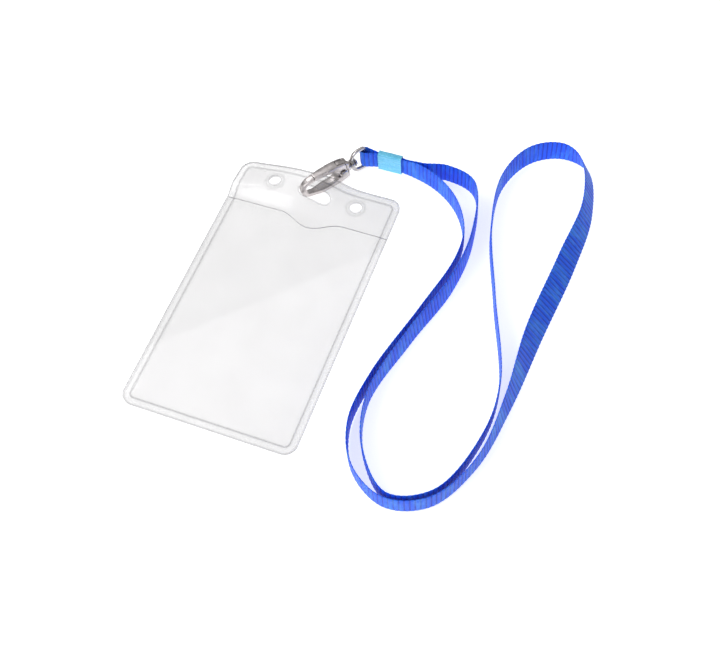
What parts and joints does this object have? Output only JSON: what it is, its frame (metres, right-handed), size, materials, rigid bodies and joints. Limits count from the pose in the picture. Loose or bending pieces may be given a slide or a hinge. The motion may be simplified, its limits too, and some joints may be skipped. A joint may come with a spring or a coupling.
{
  "type": "lanyard badge holder",
  "caption": "Clear upright vinyl card pouch with a punched hanging slot, a spring-gated oval metal hook with a swivel D-ring, and a flat woven neck strap closed by a folded metal crimp.",
  "frame": {"origin": "middle of the pouch's flat back face, which is what it lies on", "axes": "+Z out of the pouch's front, +Y along the pouch towards its punched end and the hook, +X across it to the right"},
  "size_m": [0.1445, 0.1665, 0.0128],
  "materials": {
    "clear_vinyl": "smooth and glassy, with welded borders",
    "satin_nickel": "satin nickel plating over cast metal",
    "spring_steel": "plain rolled strip",
    "blue_crimp": "light blue lacquered metal foil",
    "blue_webbing": "ribbed polyester webbing"
  },
  "bodies": {
    "badge": {"badge_back_sheet": "clear_vinyl", "badge_front_panel": "clear_vinyl", "badge_header_strip": "clear_vinyl"},
    "hook": {"hook_body": "satin_nickel", "gate_rivet": "satin_nickel", "swivel_stud": "satin_nickel"},
    "gate": {"hook_gate": "satin_nickel", "gate_spring": "spring_steel"},
    "ring": {"swivel_ring": "satin_nickel"},
    "strap": {"strap_crimp": "blue_crimp", "lanyard_strap": "blue_webbing"}
  },
  "joints": [
    {"name": "hook_swing", "type": "hinge", "parent": "badge", "child": "hook", "pos_m": [-0.00345, 0.05021, 0.00334], "axis": [0.788, -0.6157, 0], "range_deg": [-5, 3]},
    {"name": "gate_hinge", "type": "hinge", "parent": "hook", "child": "gate", "pos_m": [0.00696, 0.06353, 0.00578], "axis": [0.788, -0.6157, 0], "range_deg": [0, 12], "stiffness_Nm_per_rad": 0.02, "springref_deg": -20.05},
    {"name": "ring_swivel", "type": "hinge", "parent": "hook", "child": "ring", "pos_m": [0.00941, 0.06667, 0.00625], "axis": [0.6151, 0.7873, 0.0436], "continuous": true},
    {"name": "strap_loop_swing", "type": "hinge", "parent": "ring", "child": "strap", "pos_m": [0.01378, 0.07226, 0.00656], "axis": [-0.0268, -0.0344, 0.999], "range_deg": [-6, 120]}
  ]
}
